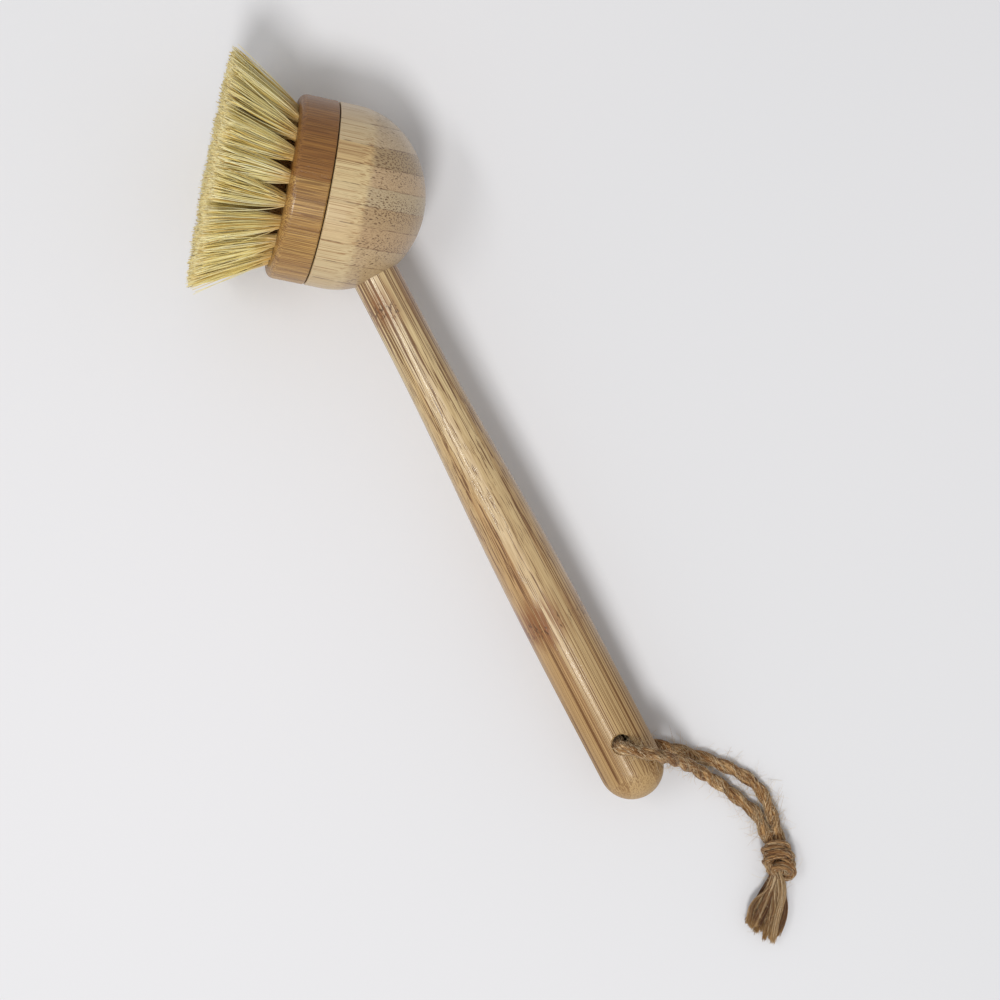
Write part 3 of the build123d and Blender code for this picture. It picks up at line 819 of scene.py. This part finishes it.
knot, knot_fuzz = make_knot()
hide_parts("cord_knot")

# Tassel: its place, heading in degrees, width and thickness in millimetres, at its start, at half
# its length and at its end
TASSEL_STATIONS = (
    (KNOT_PLACE + KNOT_ALONG * (KNOT_LENGTH - 2 * MM), -23.6, 5.4, 5.0),
    (Vector((0.1583, 0.0296, 0.0026)), -42.0, 8.4, 4.6),
    (Vector((0.1660, 0.0215, 0.0019)), -60.0, 11.8, 3.4),
)
TASSEL_HAIRS = 110
TASSEL_HAIR_LENGTH = 4.5 * MM
TASSEL_HAIR_RADIUS = 3.2 * MM
SPINE_STEPS = 12

# Locks of the tassel: their fibres start inside the knot, and they take their tones in turn
LOCKS = 22
LOCK_FIBRES = 38
LOCK_START = -0.1
LOCK_STEPS = 16
LOCK_TONES = (0.15, 0.5, 0.8, 0.3, 0.65, 0.2, 0.45, 0.9, 0.35)


def through(column, share):
    """A column's value at a share of the tassel's length, smooth through its three stations."""
    first, middle, last = (station[column] for station in TASSEL_STATIONS)
    return (
        first * (2 * (share - 0.5) * (share - 1))
        + middle * (4 * share * (1 - share))
        + last * (2 * share * (share - 0.5))
    )


def tassel_point(share, across, height):
    """A point by its share of the tassel's length, and its place across and up from -1 to 1."""
    place, heading, width, thickness = (through(column, share) for column in range(4))
    heading = math.radians(heading)
    left = Vector((-math.sin(heading), math.cos(heading), 0))
    point = place + left * across * width / 2 * MM
    point += UP * height * thickness / 2 * MM
    point.z = max(point.z, 3 * FLOOR_CLEARANCE)
    return point


def make_tassel():
    """The frayed ends of the cord, in locks of fibre that wander over each other."""
    draw = random.Random(31)
    locks, hair = Tubes(), Tubes()
    for lock in range(LOCKS):
        place = (lock + 0.5) / LOCKS * 1.8 - 0.9
        across, height = place + draw.gauss(0, 0.08), draw.uniform(-0.85, 0.85)
        end = 0.98 + draw.gauss(0, 0.025)
        tone = LOCK_TONES[lock % len(LOCK_TONES)]
        wander = [draw.gauss(0, 0.06) for _ in range(4)]
        crowd = draw.uniform(0.07, 0.12)
        twist = draw.uniform(-4.0, 4.0)
        for _ in range(LOCK_FIBRES):
            angle = draw.uniform(0, 2 * math.pi)
            reach = crowd * math.sqrt(draw.random()) * 1.9
            own_end = end + draw.gauss(0, 0.012)
            stray = draw.gauss(0, 0.04)
            centres = []
            for step in range(LOCK_STEPS + 1):
                share = LOCK_START + (own_end - LOCK_START) * step / LOCK_STEPS
                bend = sum(
                    size * math.sin((wave + 1) * 2.1 * share + wave * 1.7)
                    for wave, size in enumerate(wander)
                )
                bend += stray * share * share
                open_out = 0.55 + 0.45 * min(1, max(0, share) * 1.8)
                turn = angle + twist * share
                swell = 0.8 + 0.35 * math.sin(3.0 * share + tone * 9)
                aside = across + bend * min(1, 2 * max(0, share)) + reach * swell * math.cos(turn)
                above = height + 0.5 * bend + reach * swell * 2 * math.sin(turn)
                centres.append(tassel_point(share, aside * open_out, above * open_out))
            thick = draw.uniform(0.07, 0.13) * MM
            tint = min(1.1, max(0, tone + draw.gauss(0, 0.15)))
            locks.add(centres, lambda share, angle: thick * (1.0 - 0.3 * share), FIBRE_SIDES, tint)
    spine = [tassel_point(step / SPINE_STEPS, 0, 0) for step in range(SPINE_STEPS + 1)]
    add_fuzz(hair, spine, TASSEL_HAIR_RADIUS, TASSEL_HAIRS, draw, TASSEL_HAIR_LENGTH)
    return locks.build("tassel_locks", frayed_material), hair.build("tassel_fuzz", jute_material)


tassel, tassel_fuzz = make_tassel()
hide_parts("cord_tassel")
for piece in (knot, knot_fuzz, tassel, tassel_fuzz):
    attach(piece, "root")

# Bristles: each tuft is a bundle of plant fibres that fans out of its hole. A ring has a name, a
# number of tufts, the slant of its holes in degrees, and the circles of its holes and of its tips.
DISC_FRONT = 10.55 * MM
FIBRE_LENGTH = 19.6 * MM
HOLE_RADIUS = 2.15 * MM
RINGS = (
    ("outer", 20, 14.0, 19.8 * MM, 28.3 * MM),
    ("middle", 13, 8.0, 12.8 * MM, 17.8 * MM),
    ("core", 6, 3.0, 6.2 * MM, 8.8 * MM),
)
TIP_SHARE = 0.96
FIBRES_PER_TUFT = 230
FIBRE_STEPS = 6
FAN_POWER = 0.85
ROOT_SHARE = 0.8
ROOT_DEPTH = 2.0 * MM
STRAY_SHARE = 0.11
TIP_FLOOR = 0.2 * MM
GOLDEN_ANGLE = 2.39996


def make_tuft(name, turn, count, slant, circle, tip_circle, draw):
    """One tuft's fibres."""
    lean = math.radians(slant)
    outwards = SIDE * math.cos(turn) + FLAT * math.sin(turn)
    sideways = HEAD.cross(outwards)
    mouth = SEAM + HEAD * DISC_FRONT + outwards * circle
    hole_line = HEAD * math.cos(lean) + outwards * math.sin(lean)
    hole_out = outwards * math.cos(lean) - HEAD * math.sin(lean)
    tips = SEAM + HEAD * (DISC_FRONT + FIBRE_LENGTH) + outwards * tip_circle
    tips += (outwards * draw.gauss(0, 0.5) + sideways * draw.gauss(0, 1.1)) * MM
    spread = TIP_SHARE * tip_circle * math.sin(math.pi / count) * draw.uniform(0.8, 1.08)
    tone = draw.uniform(-0.08, 0.08)
    tubes = Tubes()
    for number in range(FIBRES_PER_TUFT):
        reach = math.sqrt((number + 0.5) / FIBRES_PER_TUFT)
        angle = number * GOLDEN_ANGLE
        x, y = reach * math.cos(angle), reach * math.sin(angle)
        foot = mouth + hole_out * x * HOLE_RADIUS + sideways * y * HOLE_RADIUS
        tip = tips + outwards * (x * spread * 0.9 + draw.gauss(0, 0.5) * MM)
        aside = sideways * (y * spread + draw.gauss(0, 0.65) * MM)
        tip += aside + HEAD * draw.gauss(-0.2, 0.45) * MM
        if draw.random() < STRAY_SHARE:
            stray = outwards * draw.uniform(-1.0, 2.8) + sideways * draw.uniform(-3.5, 3.5)
            tip += (stray - HEAD * draw.uniform(0, 1.5)) * MM
        bow = (outwards * draw.gauss(-0.15, 0.3) + sideways * draw.gauss(0, 0.35)) * MM
        line = [foot - hole_line * ROOT_DEPTH]
        for step in range(FIBRE_STEPS + 1):
            share = step / FIBRE_STEPS
            point = mouth.lerp(tips, share) + bow * 4 * share * (1 - share)
            point += (foot - mouth) * ROOT_SHARE * (1 - share) + (tip - tips) * share ** FAN_POWER
            point.z = max(point.z, TIP_FLOOR)
            line.append(point)
        thick = draw.uniform(0.11, 0.185) * MM
        tint = min(1, max(0, draw.random() + tone))
        tubes.add(line, lambda share, angle: thick * (1.0 - 0.25 * share), FIBRE_SIDES, tint)
    material = outer_fibre if "outer" in name else inner_fibre
    tuft = tubes.build(name.replace("tuft", "bristles"), material)
    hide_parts(name)
    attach(tuft, "brush_head")


lowest_turn = math.atan2(-FLAT.z, -SIDE.z)
for ring, count, slant, circle, tip_circle in RINGS:
    for number in range(count):
        turn = lowest_turn + 2 * math.pi * number / count
        draw = random.Random(f"{ring} {number}")
        make_tuft(f"tuft_{ring}_{number + 1:02d}", turn, count, slant, circle, tip_circle, draw)


# Table and light. The table reaches this far each way, a little below the brush. A lamp has a name,
# a direction in the photograph, a distance, a width, a length along the handle and a power.
TABLE_REACH = 4.0
TABLE_DROP = 0.02 * MM
LAMPS = (
    ("key", (-0.07, -0.49, 1.0), 2.4, 0.62, 0.62, 25.5),
    ("side", (-0.5, 0.0, 1.0), 0.9, 0.13, 0.5, 1.25),
)
WORLD_COLOUR = (1.0, 1.0, 1.0, 1)
WORLD_STRENGTH = 0.455


def make_floor():
    """A plain pale table top."""
    nodes = Nodes("table", roughness=0.8, specular=0.15)
    place = nodes.scaled(nodes.add("ShaderNodeTexCoord", output="Object"), (1 / MM,) * 3)
    tone = nodes.noise(place, (0.004, 0.004, 0.004), 1.0)
    colour = nodes.mix(nodes.stretch(tone, 0.3, 0.7), srgb(231, 231, 233), srgb(234, 233, 235))
    material = nodes.finish(colour)
    mesh = bpy.data.meshes.new("table")
    corners = [
        (x * TABLE_REACH, y * TABLE_REACH, -TABLE_DROP)
        for x, y in ((-1, -1), (1, -1), (1, 1), (-1, 1))
    ]
    mesh.from_pydata(corners, [], [(0, 1, 2, 3)])
    mesh.materials.append(material)
    floor = link(bpy.data.objects.new("table", mesh))


def make_light(name, toward, distance, size, length, power):
    """A soft lamp that looks at the brush, long along the handle."""
    data = bpy.data.lights.new(name, "AREA")
    data.shape = "ELLIPSE"
    data.size = length
    data.size_y = size
    data.energy = power
    lamp = link(bpy.data.objects.new(name, data))
    x, y, z = toward
    direction = (PHOTO_RIGHT * x + PHOTO_UP * y + UP * z).normalized()
    lamp.location = Vector((CAMERA_PLACE[0], CAMERA_PLACE[1], 0)) + direction * distance
    level = (HANDLE - direction * HANDLE.dot(direction)).normalized()
    turn = Matrix((level, direction.cross(level), direction)).transposed()
    lamp.rotation_euler = turn.to_euler()


make_floor()
for lamp_values in LAMPS:
    make_light(*lamp_values)
world = bpy.data.worlds.new("studio")
world.use_nodes = True
background = world.node_tree.nodes["Background"]
background.inputs["Color"].default_value = WORLD_COLOUR
background.inputs["Strength"].default_value = WORLD_STRENGTH
bpy.context.scene.world = world
bpy.context.scene.view_settings.view_transform = "Standard"
